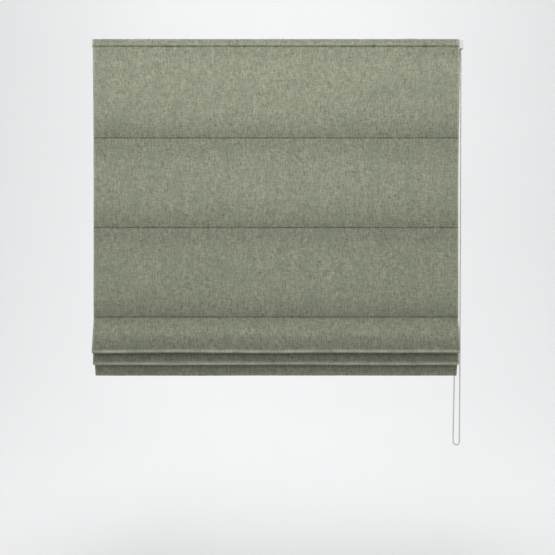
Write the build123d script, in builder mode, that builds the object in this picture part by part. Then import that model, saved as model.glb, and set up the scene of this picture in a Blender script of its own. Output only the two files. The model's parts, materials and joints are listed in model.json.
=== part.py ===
from build123d import *
from math import pi, radians, tan
import os

os.makedirs("parts", exist_ok=True)

# Millimetres. +X across the blind, -Y towards the room, +Z up. The brackets are screwed to a ceiling or
# lintel at Z = 0, and the origin is the middle of the centre bracket's top face.

# Cloth: one face fabric with turned edges, and a lining that carries the rod pockets
fabric_width = 1094.0
fabric_t = 0.8
side_hem = 30.0
lining_t = 0.5
lining_inset = 12.0
cloth_gap = 0.3
turn_gap = 0.2
turn_slack = 0.02
header_height = 22.0
header_drop = 2.5
tape_height = 20.0
tape_t = 1.0
tape_inset = 4.0
tape_drop = 1.0
side_hem_drop = 2.0
lining_drop = 3.0

# Heights of the stitched rods, and the forms of the two raised folds and the loose bottom flap
rod_levels = (-297.0, -565.5, -834.0)
stack_pitch = 13.0
panel_front = -8.0
lean_start = -36.0
lean_top_radius = 150.0
lean_radius = 300.0
fold_start = -12.0
fold_start_radius = 40.0
fold_a = {
    "belly": (-31.0, -884.0),
    "belly_radius": 120.0,
    "front": -47.5,
    "back": -34.0,
    "low": -934.5,
    "radius": 6.0,
}
fold_b = {"front": -22.0, "back": -10.0, "low": -973.0, "radius": 5.4}
crest_a = {"front": -9.0, "width": 2.0, "top": -857.0, "root": (2.6, 1.9)}
crest_b = {"front": -2.0, "width": 2.0, "top": -868.5, "root": (1.4, 2.1)}
crest_radius = 0.95
hem_front = 3.0
hem_low = -1012.0
hem_pocket = 4.8
hem_height = 30.0
hem_radius = 2.3
lining_tuck = 2.0

# Rods, rings and lift cords
rod_d = 4.0
rod_y = 0.4
rod_end_gap = 5.0
tip_d = 5.4
tip_length = 12.0
tip_end = 1.6
tip_edge_r = 0.6
pocket_gap = 0.3
cord_d = 1.4
cord_xs = (-478.0, -159.3, 159.3, 478.0)
ring_wire = 1.8
ring_bore = 3.8
ring_tab = (5.0, 2.6, 3.0)
anchor_d = 6.4
anchor_length = 9.0
anchor_bore_depth = 5.5
anchor_gap = 0.1
cord_end_gap = 0.2
bar_height = 24.0
bar_t = 2.0
bar_cap_length = 6.0
bar_cap_wall = 0.25
bar_cap_end = 1.2
bar_end_gap = 3.0
bar_edge_r = 0.6

# Headrail: an open-topped channel whose lips the brackets catch
rail_depth = 40.0
rail_height = 25.0
rail_wall = 1.3
rail_lip = 8.0
rail_corner = 1.0
fit_gap = 0.15
run_gap = 0.05

# Brackets with a fixed front hook and a swivelling rear catch
bracket_xs = {"left": -400.0, "centre": 0.0, "right": 400.0}
plate_width = 50.0
plate_depth = 34.0
plate_t = 2.0
plate_corner = 3.0
screw_spacing = 34.0
screw_hole_r = 2.3
screw_sink_r = 3.1
hook_width = 30.0
hook_t = 1.5
hook_reach = 4.0
hook_inset = 0.5
hook_gap = 0.2
lever_t = 1.2
lever_width = 12.0
lever_reach = 24.0
lever_gap = 0.1
catch_boss_r = 7.0
catch_reach = 16.5
catch_t = 1.6
lip_gap = 0.3
rivet_r = 2.5
rivet_head_r = 4.0
rivet_head_t = 0.8
rivet_peen_r = 3.8

# Bead-chain drive at the right end, and the shaft that it turns
bead_d = 4.5
bead_pitch = 6.0
wheel_pockets = 12
wheel_width = 8.0
wheel_rim = 0.7
wheel_side_gap = 0.4
pocket_extra = 0.75
chain_guide_gap = 0.6
exit_slot_gap = 0.6
chain_clear = 4.5
housing_wall = 2.0
housing_rim = 1.2
housing_corner = 4.0
housing_plug = 22.0
plug_wall = 1.6
cover_t = 2.0
cover_edge_r = 0.8
cover_screw_ys = (-17.2, 17.2)
cover_screw_r = 1.2
cover_screw_head_r = 2.2
cover_screw_head_t = 1.2
cover_screw_head_h = 1.0
cover_screw_length = 9.0
core_r = 4.4
spigot_r = 2.5
finger_in_r = 5.9
finger_out_r = 7.4
finger_length = 10.0
finger_angle = 150.0
finger_clear = 0.6
spring_t = 0.8
spring_tang = 0.4
tang_angle = 8.0
hub_t = 6.0
hub_recess = 0.5
core_chamfer = 0.5
socket_length = 8.0
socket_r = 6.0
shaft_size = 5.0
shaft_gap = 0.1
shaft_edge_r = 0.4
shaft_end_gap = 1.0
bush_r = 4.0
bush_length = 12.0
cap_t = 3.0
cap_edge_r = 0.8
cap_plug = 14.0
cap_boss_r = 6.5
collar_r = 6.0
collar_length = 8.0
collar_xs = (-300.0, 300.0)
collar_screw_r = 1.5

# Lift spools, each in a cradle that snaps into the rail above its cord hole
drum_r = 7.17
flange_r = 8.8
flange_t = 1.2
drum_before = 5.0
drum_after = 19.0
journal_r = 4.0
journal_length = 3.6
winding_length = 12.8
cradle_wall = 2.2
cradle_base = 1.5
cradle_top_gap = 2.2
nozzle_r = 3.2
nozzle_bore_r = 1.6
nozzle_drop = 1.5
nozzle_hole_gap = 0.2
nozzle_lead = 0.6
wall_gap = 0.5
winding_gap = 0.2

# Free chain: it hangs from the wheel, its strands a little apart near the bottom
chain_turn_r = 11.4
connector_r = 3.1
connector_length = 11.0
connector_share = 0.62
bend_share = 0.45

# Worked-out places
half = fabric_width / 2
rail_top = -(plate_t + lever_t + 3 * lever_gap)
axis_z = rail_top - rail_height / 2
rail_bottom = rail_top - rail_height
floor_z = rail_bottom + rail_wall
lip_under = rail_top - rail_wall
pitch_r = wheel_pockets * bead_pitch / (2 * pi)
wheel_x = half + chain_clear + bead_d / 2
cavity_half = wheel_width / 2 + wheel_side_gap
rail_left = -half
rail_right = wheel_x - cavity_half - housing_wall
rail_length = rail_right - rail_left
cavity_r = pitch_r + bead_d / 2 + chain_guide_gap
housing_top = axis_z + cavity_r + housing_rim
housing_bottom = axis_z - cavity_r - housing_rim
cord_y = drum_r + cloth_gap + cord_d / 2
lining_width = fabric_width - 2 * lining_inset
lining_near = 2 * fabric_t + cloth_gap
lining_far = lining_near + lining_t
pocket_in_r = tip_d / 2 + pocket_gap
pocket_out_r = pocket_in_r + lining_t
rod_half = lining_width / 2 - rod_end_gap
rods = rod_levels + tuple(rod_levels[-1] - stack_pitch * n for n in (1, 2))
header_back = -(rail_depth / 2 + 2 * tape_t + run_gap)
header_front = header_back - 2 * fabric_t - turn_gap
header_low = -header_drop - header_height
tape_top = rail_top - tape_drop
shaft_axis = Axis((0, 0, axis_z), (1, 0, 0))

# The cloth's section, as (y, z) points along its face side from the turned header to the turned hem, each
# corner with its radius: down the rail's front, past the rods, round the two folds, and down the flap.
header_run = [
    ((header_back, header_low), 0),
    ((header_back, -header_drop), fabric_t + turn_gap / 2 - turn_slack),
    ((header_front, -header_drop), fabric_t + turn_gap / 2 - turn_slack),
]
panel_run = [
    ((header_front, lean_start), lean_top_radius),
    ((panel_front, rod_levels[0]), lean_radius),
    ((panel_front, rod_levels[2] + fold_start), fold_start_radius),
]
fold_run = [
    (fold_a["belly"], fold_a["belly_radius"]),
    ((fold_a["front"], fold_a["low"]), fold_a["radius"]),
    ((fold_a["back"], fold_a["low"]), fold_a["radius"]),
    ((crest_a["front"], crest_a["top"]), crest_radius),
    ((crest_a["front"] + crest_a["width"], crest_a["top"]), crest_radius),
    ((fold_b["front"], fold_b["low"]), fold_b["radius"]),
    ((fold_b["back"], fold_b["low"]), fold_b["radius"]),
    ((crest_b["front"], crest_b["top"]), crest_radius),
    ((crest_b["front"] + crest_b["width"], crest_b["top"]), crest_radius),
]
hem_run = [
    ((hem_front, hem_low), hem_radius),
    ((hem_front + hem_pocket, hem_low), hem_radius),
    ((hem_front + hem_pocket, hem_low + hem_height), 0),
]


def shaft_plane(x):
    """The plane across the shaft at x, with its own x along +Y and its y along +Z."""
    return Plane((x, 0, axis_z), x_dir=(0, 1, 0), z_dir=(1, 0, 0))


def save(part, name):
    part.label = name
    export_step(part, f"parts/{name}.step")


def shifted(run, distance):
    """The run moved to its left, the lining side, with each bend about the same centre."""
    points = [Vector(*point) for point, _ in run]
    ways = [(b - a).normalized() for a, b in zip(points, points[1:])]
    sides = [Vector(-way.Y, way.X) for way in ways]
    moved = [(points[0] + sides[0] * distance, 0)]
    for corner, (_, radius), n in zip(points[1:-1], run[1:-1], range(len(ways))):
        to_corner = (sides[n] + sides[n + 1]) * (distance / (1 + sides[n].dot(sides[n + 1])))
        turns_left = ways[n].cross(ways[n + 1]).Z > 0
        moved.append((corner + to_corner, radius - distance if turns_left else radius + distance))
    return moved + [(points[-1] + sides[-1] * distance, 0)]


def band(run, near, far):
    """One cloth layer, from near to far behind the face side."""
    edges = []
    with BuildSketch() as layer:
        with BuildLine():
            for distance in (near, far):
                points = [point for point, _ in shifted(run, distance)]
                bends = [radius for _, radius in shifted(run, distance)[1:-1]]
                edges.append(FilletPolyline(*points, radius=bends))
            Line(edges[0] @ 0, edges[1] @ 0)
            Line(edges[0] @ 1, edges[1] @ 1)
        make_face()
    return layer.sketch


def run_length(run):
    """Length along a filleted run, which is the length of the flat cloth."""
    points = [Vector(*point) for point, _ in run]
    total = sum((b - a).length for a, b in zip(points, points[1:]))
    for before, corner, after, (_, radius) in zip(points, points[1:], points[2:], run[1:]):
        turn = radians((corner - before).get_angle(after - corner))
        total += radius * turn - 2 * radius * tan(turn / 2)
    return total


# ---------------------------------------------------------------- Headrail and its ends
with BuildPart() as headrail:
    with BuildSketch(Plane.YZ.offset(rail_left)):
        with Locations((0, axis_z)):
            RectangleRounded(rail_depth, rail_height, rail_corner)
            Rectangle(rail_depth - 2 * rail_wall, rail_height - 2 * rail_wall, mode=Mode.SUBTRACT)
        with Locations((0, rail_top)):
            Rectangle(rail_depth - 2 * rail_lip, 3 * rail_wall, mode=Mode.SUBTRACT)
    extrude(amount=rail_length)
    with Locations(*[(x, cord_y, rail_bottom) for x in cord_xs]):
        Cylinder(nozzle_r + nozzle_hole_gap, 3 * rail_wall, mode=Mode.SUBTRACT)
save(headrail.part, "headrail")

with BuildPart() as end_cap_left:
    with BuildSketch(Plane.YZ.offset(rail_left - cap_t)):
        with Locations((0, axis_z)):
            RectangleRounded(rail_depth, rail_height, rail_corner)
    extrude(amount=cap_t)
    fillet(end_cap_left.faces().sort_by(Axis.X)[0].edges(), cap_edge_r)
    with BuildSketch(Plane.YZ.offset(rail_left)):
        with Locations((0, axis_z)):
            inner_y = rail_depth - 2 * rail_wall - 2 * fit_gap
            inner_z = rail_height - 2 * rail_wall - 2 * fit_gap
            Rectangle(inner_y, inner_z)
            Rectangle(inner_y - 2 * plug_wall, inner_z - 2 * plug_wall, mode=Mode.SUBTRACT)
            Circle(cap_boss_r)
            Circle(bush_r + run_gap, mode=Mode.SUBTRACT)
    extrude(amount=cap_plug)
save(end_cap_left.part, "end_cap_left")

housing_mid = (housing_top + housing_bottom) / 2
with BuildPart() as drive_housing:
    with BuildSketch(Plane.YZ.offset(rail_right)):
        with Locations((0, housing_mid)):
            RectangleRounded(rail_depth, housing_top - housing_bottom, housing_corner)
    extrude(amount=housing_wall + 2 * cavity_half)
    with BuildSketch(Plane.YZ.offset(wheel_x - cavity_half)):
        with Locations((0, axis_z)):
            Circle(cavity_r)
    extrude(amount=2 * cavity_half, mode=Mode.SUBTRACT)
    with Locations((wheel_x, -pitch_r, housing_bottom), (wheel_x, pitch_r, housing_bottom)):
        slot_size = bead_d + 2 * exit_slot_gap
        Box(slot_size, slot_size, 2 * (cavity_r + housing_rim), mode=Mode.SUBTRACT)
    with BuildSketch(Plane.YZ.offset(rail_right - housing_plug)):
        with Locations((0, axis_z)):
            Rectangle(inner_y, inner_z)
            Rectangle(inner_y - 2 * plug_wall, inner_z - 2 * plug_wall, mode=Mode.SUBTRACT)
    extrude(amount=housing_plug)
    with Locations(Location((rail_right, 0, axis_z), (0, 90, 0))):
        Cylinder(finger_out_r + finger_clear, 3 * housing_wall, mode=Mode.SUBTRACT)
    with Locations(*[Location((wheel_x, y, axis_z), (0, 90, 0)) for y in cover_screw_ys]):
        Cylinder(cover_screw_r + run_gap, 4 * cavity_half, mode=Mode.SUBTRACT)
save(drive_housing.part, "drive_housing")

cover_x = wheel_x + cavity_half
with BuildPart() as drive_cover:
    with BuildSketch(Plane.YZ.offset(cover_x)):
        with Locations((0, housing_mid)):
            RectangleRounded(rail_depth, housing_top - housing_bottom, housing_corner)
        with Locations((0, axis_z)):
            Circle(spigot_r + run_gap, mode=Mode.SUBTRACT)
    extrude(amount=cover_t)
    with Locations(*[Location((cover_x + cover_t, y, axis_z), (0, 90, 0)) for y in cover_screw_ys]):
        sink_r = cover_screw_head_r + 2 * run_gap
        CounterBoreHole(cover_screw_r + run_gap, sink_r, cover_screw_head_t, cover_t)
    fillet(drive_cover.faces().sort_by(Axis.X)[-1].outer_wire().edges(), cover_edge_r)
save(drive_cover.part, "drive_cover")

with BuildPart() as cover_screws:
    for y in cover_screw_ys:
        with Locations(Location((cover_x + cover_t - cover_screw_head_t, y, axis_z), (0, 90, 0))):
            Cylinder(cover_screw_head_r, cover_screw_head_h, align=(Align.CENTER, Align.CENTER, Align.MIN))
            Cylinder(cover_screw_r, cover_screw_length, align=(Align.CENTER, Align.CENTER, Align.MAX))
save(cover_screws.part, "cover_screws")

# ---------------------------------------------------------------- Brackets
foot_top = lip_under - hook_gap
hook_front = -(rail_depth / 2 - rail_lip)


def make_bracket(x):
    with BuildPart() as bracket:
        with BuildSketch(Plane.XY.offset(-plate_t)):
            with Locations((x, 0)):
                RectangleRounded(plate_width, plate_depth, plate_corner)
        extrude(amount=plate_t)
        with BuildSketch(Plane.YZ.offset(x - hook_width / 2)):
            with BuildLine():
                Polyline(
                    (hook_front + hook_inset, -plate_t),
                    (hook_front + hook_inset, foot_top),
                    (hook_front - hook_reach, foot_top),
                    (hook_front - hook_reach, foot_top - hook_t),
                    (hook_front + hook_inset + hook_t, foot_top - hook_t),
                    (hook_front + hook_inset + hook_t, -plate_t),
                    close=True,
                )
            make_face()
        extrude(amount=hook_width)
        with Locations((x, 0, 0)):
            CounterBoreHole(rivet_r + run_gap, rivet_head_r + run_gap, rivet_head_t, plate_t)
        sides = (-screw_spacing / 2, screw_spacing / 2)
        with Locations(*[Location((x + dx, 0, -plate_t), (180, 0, 0)) for dx in sides]):
            CounterSinkHole(screw_hole_r, screw_sink_r, plate_t, 90)
    return bracket.part


def make_catch(x):
    lever_top = -plate_t - lever_gap
    lobe_top = lip_under - lip_gap
    with BuildPart() as catch:
        with BuildSketch(Plane.XY.offset(lever_top - lever_t)):
            with Locations((x, lever_reach / 2)):
                SlotCenterToCenter(lever_reach - lever_width / 2, lever_width, rotation=90)
            with Locations((x, 0)):
                Circle(catch_boss_r)
        extrude(amount=lever_t)
        with BuildSketch(Plane.XY.offset(lobe_top)):
            with Locations((x, 0)):
                Circle(catch_boss_r)
        extrude(amount=lever_top - lever_t - lobe_top)
        with BuildSketch(Plane.XY.offset(lobe_top - catch_t)):
            with Locations((x, 0)):
                Circle(catch_boss_r)
            with Locations((x, catch_reach / 2)):
                Rectangle(lever_width, catch_reach)
        extrude(amount=catch_t)
        with Locations((x, 0, lever_top)):
            Hole(rivet_r + run_gap, 2 * (lever_top - lobe_top + catch_t))
    return catch.part


for side, x in bracket_xs.items():
    save(make_bracket(x), f"bracket_{side}")
    save(make_catch(x), f"catch_{side}")

rivet_low = lip_under - lip_gap - catch_t - lever_gap
with BuildPart() as catch_rivets:
    for x in bracket_xs.values():
        with Locations((x, 0, 0)):
            Cylinder(rivet_head_r, rivet_head_t, align=(Align.CENTER, Align.CENTER, Align.MAX))
            Cylinder(rivet_r, -rivet_low, align=(Align.CENTER, Align.CENTER, Align.MAX))
        with Locations((x, 0, rivet_low)):
            Cylinder(rivet_peen_r, rivet_head_t, align=(Align.CENTER, Align.CENTER, Align.MAX))
save(catch_rivets.part, "catch_rivets")

# ---------------------------------------------------------------- Drive: wheel, clutch, shaft
def half_sleeve(inner_r, outer_r, angle, start=0):
    """A sector of a ring, for the fingers that push the clutch springs."""
    first = Vector(1, 0).rotate(Axis.Z, start)
    last = Vector(1, 0).rotate(Axis.Z, start + angle)
    with BuildSketch() as sector:
        with BuildLine():
            CenterArc((0, 0), outer_r, start, angle)
            CenterArc((0, 0), inner_r, start, angle)
            Line(first * inner_r, first * outer_r)
            Line(last * inner_r, last * outer_r)
        make_face()
    return sector.sketch


wheel_in = wheel_x - wheel_width / 2
hub_out = wheel_in - finger_length - 2 * shaft_gap
core_in = hub_out - hub_t + hub_recess
wheel_section = Plane((wheel_x, 0, axis_z), x_dir=(1, 0, 0), z_dir=(0, -1, 0))

with BuildPart() as chain_wheel:
    with BuildSketch(wheel_section):
        rim_r = pitch_r + wheel_rim
        with Locations((0, (rim_r + core_r + run_gap) / 2)):
            Rectangle(wheel_width, rim_r - core_r - run_gap)
        with Locations((0, pitch_r)):
            Circle(bead_d / 2 + cloth_gap, mode=Mode.SUBTRACT)
    revolve(axis=shaft_axis)
    with BuildSketch(shaft_plane(wheel_in - finger_length)):
        add(half_sleeve(finger_in_r, finger_out_r, finger_angle))
    extrude(amount=finger_length)
    for pocket in range(wheel_pockets):
        place = Vector(0, pitch_r, 0).rotate(Axis.X, pocket * 360 / wheel_pockets)
        with Locations(place + Vector(wheel_x, 0, axis_z)):
            Sphere(bead_d / 2 + pocket_extra, mode=Mode.SUBTRACT)
save(chain_wheel.part, "chain_wheel")

with BuildPart() as clutch_core:
    with BuildSketch(shaft_plane(core_in)):
        Circle(core_r)
    extrude(amount=cover_x - core_in)
    with BuildSketch(shaft_plane(cover_x)):
        Circle(spigot_r)
    extrude(amount=cover_t)
    chamfer(clutch_core.faces().sort_by(Axis.X)[0].edges(), core_chamfer)
save(clutch_core.part, "clutch_core")

with BuildPart() as clutch_springs:
    spring_in_r = core_r + run_gap
    tang_in_r = spring_in_r + spring_t / 2
    spring_length = (finger_length - 3 * spring_tang) / 2
    for start in (hub_out + spring_tang, hub_out + 2 * spring_tang + spring_length):
        with BuildSketch(shaft_plane(start)):
            Circle(spring_in_r + spring_t)
            Circle(spring_in_r, mode=Mode.SUBTRACT)
        extrude(amount=spring_length)
        with BuildSketch(shaft_plane(start)):
            middle = finger_angle + (180 - finger_angle) / 2
            add(half_sleeve(tang_in_r, finger_out_r - spring_tang, tang_angle, middle - tang_angle / 2))
            add(half_sleeve(tang_in_r, finger_out_r - spring_tang, tang_angle, middle + 180 - tang_angle / 2))
        extrude(amount=spring_t)
save(clutch_springs.part, "clutch_springs")

with BuildPart() as output_hub:
    with BuildSketch(shaft_plane(hub_out - hub_t)):
        Circle(finger_out_r)
        Circle(core_r + run_gap, mode=Mode.SUBTRACT)
    extrude(amount=hub_t)
    with BuildSketch(shaft_plane(hub_out)):
        add(half_sleeve(finger_in_r, finger_out_r, finger_angle, 180))
    extrude(amount=finger_length)
    with BuildSketch(shaft_plane(hub_out - hub_t - socket_length)):
        Circle(socket_r)
        Rectangle(shaft_size + shaft_gap, shaft_size + shaft_gap, mode=Mode.SUBTRACT)
    extrude(amount=socket_length)
save(output_hub.part, "output_hub")

shaft_left = rail_left + shaft_end_gap
shaft_right = hub_out - hub_t - shaft_end_gap
with BuildPart() as drive_shaft:
    with BuildSketch(shaft_plane(shaft_left)):
        RectangleRounded(shaft_size, shaft_size, shaft_edge_r)
    extrude(amount=shaft_right - shaft_left)
save(drive_shaft.part, "drive_shaft")

with BuildPart() as shaft_bush:
    with BuildSketch(shaft_plane(rail_left + shaft_end_gap)):
        Circle(bush_r)
        Rectangle(shaft_size + shaft_gap, shaft_size + shaft_gap, mode=Mode.SUBTRACT)
    extrude(amount=bush_length)
save(shaft_bush.part, "shaft_bush")

with BuildPart() as shaft_collars:
    for x in collar_xs:
        with BuildSketch(shaft_plane(x)):
            Circle(collar_r)
            Rectangle(shaft_size + shaft_gap, shaft_size + shaft_gap, mode=Mode.SUBTRACT)
        extrude(amount=collar_length)
        with Locations((x + collar_length / 2, 0, axis_z + collar_r)):
            Cylinder(collar_screw_r, collar_r, mode=Mode.SUBTRACT)
save(shaft_collars.part, "shaft_collars")


# ---------------------------------------------------------------- Lift spools and their cradles
def make_spool(x):
    """Drum with two flanges and two journals; its cord leaves the drum at x."""
    start = x - drum_before
    length = drum_before + drum_after
    with BuildPart() as spool:
        with BuildSketch(shaft_plane(start)):
            Circle(drum_r)
        extrude(amount=length)
        for flange_x in (start - flange_t, start + length):
            with BuildSketch(shaft_plane(flange_x)):
                Circle(flange_r)
            extrude(amount=flange_t)
        for journal_x in (start - flange_t - journal_length, start + length + flange_t):
            with BuildSketch(shaft_plane(journal_x)):
                Circle(journal_r)
            extrude(amount=journal_length)
        with BuildSketch(shaft_plane(start - flange_t - journal_length)):
            Rectangle(shaft_size + shaft_gap, shaft_size + shaft_gap)
        extrude(amount=length + 2 * (flange_t + journal_length), mode=Mode.SUBTRACT)
    return spool.part


def make_cradle(x):
    """Base with a bearing wall at each journal and a nozzle through the rail's floor at x."""
    first_wall = x - drum_before - flange_t - wall_gap - cradle_wall
    second_wall = x + drum_after + flange_t + wall_gap
    with BuildPart() as cradle:
        with BuildSketch(Plane.YZ.offset(first_wall)):
            with Locations((0, floor_z)):
                Rectangle(inner_y, cradle_base, align=(Align.CENTER, Align.MIN))
        extrude(amount=second_wall + cradle_wall - first_wall)
        for wall_x in (first_wall, second_wall):
            with BuildSketch(Plane.YZ.offset(wall_x)):
                with Locations((0, floor_z)):
                    wall_height = lip_under - cradle_top_gap - floor_z
                    Rectangle(inner_y, wall_height, align=(Align.CENTER, Align.MIN))
                with Locations((0, axis_z)):
                    Circle(journal_r + run_gap, mode=Mode.SUBTRACT)
            extrude(amount=cradle_wall)
        with Locations((x, cord_y, rail_bottom - nozzle_drop)):
            Cylinder(
                nozzle_r,
                floor_z - rail_bottom + nozzle_drop,
                align=(Align.CENTER, Align.CENTER, Align.MIN),
            )
        with Locations((x, cord_y, floor_z)):
            Cylinder(nozzle_bore_r, 6 * (cradle_base + nozzle_drop), mode=Mode.SUBTRACT)
        mouth = cradle.edges().filter_by(GeomType.CIRCLE).group_by(Axis.Z)[0]
        fillet(mouth.filter_by(lambda edge: edge.radius < (nozzle_r + nozzle_bore_r) / 2), nozzle_lead)
    return cradle.part


for number, x in enumerate(cord_xs, 1):
    save(make_spool(x), f"spool_{number}")
    save(make_cradle(x), f"spool_cradle_{number}")

with BuildPart() as cord_windings:
    for x in cord_xs:
        with BuildSketch(shaft_plane(x + cord_d / 2 + winding_gap)):
            Circle(drum_r + cord_d)
            Circle(drum_r, mode=Mode.SUBTRACT)
        extrude(amount=winding_length)
save(cord_windings.part, "cord_windings")

# ---------------------------------------------------------------- Cloth
tape_z = tape_top - tape_height / 2
tape_front = -rail_depth / 2 - tape_t
with BuildPart() as hook_tape:
    with Locations((0, tape_front + tape_t / 2, tape_z)):
        Box(fabric_width - 2 * tape_inset, tape_t, tape_height)
save(hook_tape.part, "hook_tape")

with BuildPart() as loop_tape:
    with Locations((0, tape_front - tape_t / 2, tape_z)):
        Box(fabric_width - 2 * tape_inset, tape_t, tape_height)
save(loop_tape.part, "loop_tape")

face_run = header_run + panel_run + fold_run + hem_run
hem_start = [((header_front, header_low - side_hem_drop), 0)]
with BuildPart() as face_fabric:
    with BuildSketch(Plane.YZ):
        add(band(face_run, 0, fabric_t))
    extrude(amount=half, both=True)
    for edge_x in (-half, half - side_hem):
        with BuildSketch(Plane.YZ.offset(edge_x)):
            add(band(hem_start + panel_run + fold_run + hem_run, fabric_t, 2 * fabric_t))
        extrude(amount=side_hem)
save(face_fabric.part, "face_fabric")

lining_start = [((header_front, header_low - lining_drop), 0)]
lining_end = [((hem_front, hem_low + hem_height - lining_tuck), 0)]
lining_run = lining_start + panel_run + fold_run + lining_end
lining_y = panel_front + (lining_near + lining_far) / 2
crest_roots = [
    (crest["front"] + crest["root"][0], crest["top"] + crest["root"][1]) for crest in (crest_a, crest_b)
]
pocket_roots = [(lining_y, z) for z in rod_levels] + crest_roots
with BuildPart() as lining:
    with BuildSketch(Plane.YZ):
        add(band(lining_run, lining_near, lining_far))
        for root, z in zip(pocket_roots, rods):
            with BuildLine(mode=Mode.PRIVATE) as neck:
                Line(root, (rod_y, z))
            trace(neck.line, line_width=2 * lining_t)
            with Locations((rod_y, z)):
                Circle(pocket_out_r)
        with Locations(*[(rod_y, z) for z in rods]):
            Circle(pocket_in_r, mode=Mode.SUBTRACT)
    extrude(amount=lining_width / 2, both=True)
save(lining.part, "lining")


# ---------------------------------------------------------------- Rods, rings, cords, bottom bar
def make_rod(z):
    with BuildPart() as rod:
        with BuildSketch(Plane.YZ):
            with Locations((rod_y, z)):
                Circle(rod_d / 2)
        extrude(amount=rod_half - tip_end, both=True)
    return rod.part


def make_tips(z):
    with BuildPart() as tips:
        with BuildSketch(Plane.YZ.offset(rod_half - tip_length)):
            with Locations((rod_y, z)):
                Circle(tip_d / 2)
        extrude(amount=tip_length)
        fillet(tips.faces().sort_by(Axis.X)[-1].edges(), tip_edge_r)
        with BuildSketch(Plane.YZ.offset(rod_half - tip_length)):
            with Locations((rod_y, z)):
                Circle(rod_d / 2)
        extrude(amount=tip_length - tip_end, mode=Mode.SUBTRACT)
        mirror(about=Plane.YZ)
    return tips.part


def make_rings(z):
    """A row of cord rings, each with the tab that is stitched to the rod pocket."""
    with BuildPart() as rings:
        for x in cord_xs:
            with Locations((x, cord_y, z)):
                Torus((ring_bore + ring_wire) / 2, ring_wire / 2)
            with Locations((x, rod_y + pocket_out_r + cloth_gap, z)):
                Box(*ring_tab, align=(Align.CENTER, Align.MIN, Align.CENTER))
            with Locations((x, cord_y, z)):
                Cylinder(ring_bore / 2, 2 * ring_wire, mode=Mode.SUBTRACT)
    return rings.part


for number, z in enumerate(rods, 1):
    save(make_rod(z), f"rod_{number}")
    save(make_tips(z), f"rod_tips_{number}")
    save(make_rings(z), f"cord_rings_{number}")

anchor_top = rods[-1] - ring_tab[2] / 2 - anchor_gap
with BuildPart() as cord_anchors:
    with Locations(*[(x, cord_y, anchor_top) for x in cord_xs]):
        Cylinder(anchor_d / 2, anchor_length, align=(Align.CENTER, Align.CENTER, Align.MAX))
        Hole(cord_d / 2 + run_gap, anchor_bore_depth)
save(cord_anchors.part, "cord_anchors")

cord_low = anchor_top - anchor_bore_depth + cord_end_gap
for number, x in enumerate(cord_xs, 1):
    with BuildPart() as lift_cord:
        with BuildSketch(Plane.XY.offset(cord_low)):
            with Locations((x, cord_y)):
                Circle(cord_d / 2)
        extrude(amount=axis_z - cord_low)
    save(lift_cord.part, f"lift_cord_{number}")

bar_half = half - side_hem - bar_end_gap
bar_y = hem_front + hem_pocket / 2
bar_z = hem_low + hem_radius + cloth_gap + bar_cap_wall + bar_height / 2
with BuildPart() as bottom_bar:
    with Locations((0, bar_y, bar_z)):
        Box(2 * bar_half, bar_t, bar_height)
    fillet(bottom_bar.edges().filter_by(Axis.X), bar_edge_r)
save(bottom_bar.part, "bottom_bar")

with BuildPart() as bottom_bar_caps:
    cap_size = (bar_t + 2 * bar_cap_wall, bar_height + 2 * bar_cap_wall)
    with Locations((bar_half - bar_cap_length, bar_y, bar_z)):
        Box(bar_cap_length + bar_cap_end, *cap_size, align=(Align.MIN, Align.CENTER, Align.CENTER))
        Box(
            bar_cap_length,
            bar_t + shaft_gap,
            bar_height + shaft_gap,
            align=(Align.MIN, Align.CENTER, Align.CENTER),
            mode=Mode.SUBTRACT,
        )
    mirror(about=Plane.YZ)
save(bottom_bar_caps.part, "bottom_bar_caps")

# ---------------------------------------------------------------- Bead chain
front_exit = Vector(wheel_x, -pitch_r, housing_bottom)
rear_exit = Vector(wheel_x, pitch_r, housing_bottom)
chain_route = [
    front_exit,
    Vector(wheel_x, -pitch_r, -75),
    Vector(wheel_x - 2.5, -9.3, -1030),
    Vector(wheel_x - 4.0, -8.3, -1219),
    Vector(wheel_x - 20.3, 8.3, -1219),
    Vector(wheel_x - 16.3, 11.3, -1030),
    Vector(wheel_x, pitch_r, -75),
    rear_exit,
]


def tube_path(route, fixed):
    """Runs joined by arcs as large as the shorter run allows, or of the fixed radius where one is given."""
    radii = []
    for before, corner, after, given in zip(route, route[1:], route[2:], fixed):
        turn = radians((corner - before).get_angle(after - corner))
        shorter = min((corner - before).length, (after - corner).length)
        radii.append(given or bend_share * shorter / tan(turn / 2))
    print("bead chain radii", [round(radius, 1) for radius in radii])
    with BuildLine() as path:
        FilletPolyline(*route, radius=radii)
    return path.line


free_path = tube_path(chain_route, (0, 0, chain_turn_r, chain_turn_r, 0, 0))
with BuildPart() as bead_chain:
    with BuildSketch(Plane(free_path @ 0, z_dir=free_path % 0)):
        Circle(bead_d / 2)
    sweep(path=free_path)
save(bead_chain.part, "bead_chain")
chain_length = sum(edge.length for edge in free_path.edges())
volume_share = bead_chain.part.volume / (pi * bead_d**2 / 4 * chain_length)
print("bead chain length", round(chain_length), "tube volume share", round(volume_share, 4))

with BuildPart() as bead_chain_on_wheel:
    with BuildLine(shaft_plane(wheel_x)) as wheel_path:
        Line((-pitch_r, housing_bottom - axis_z), (-pitch_r, 0))
        ThreePointArc((-pitch_r, 0), (0, pitch_r), (pitch_r, 0))
        Line((pitch_r, 0), (pitch_r, housing_bottom - axis_z))
    with BuildSketch(Plane(front_exit, z_dir=(0, 0, 1))):
        Circle(bead_d / 2)
    sweep(path=wheel_path.line)
save(bead_chain_on_wheel.part, "bead_chain_on_wheel")

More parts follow.
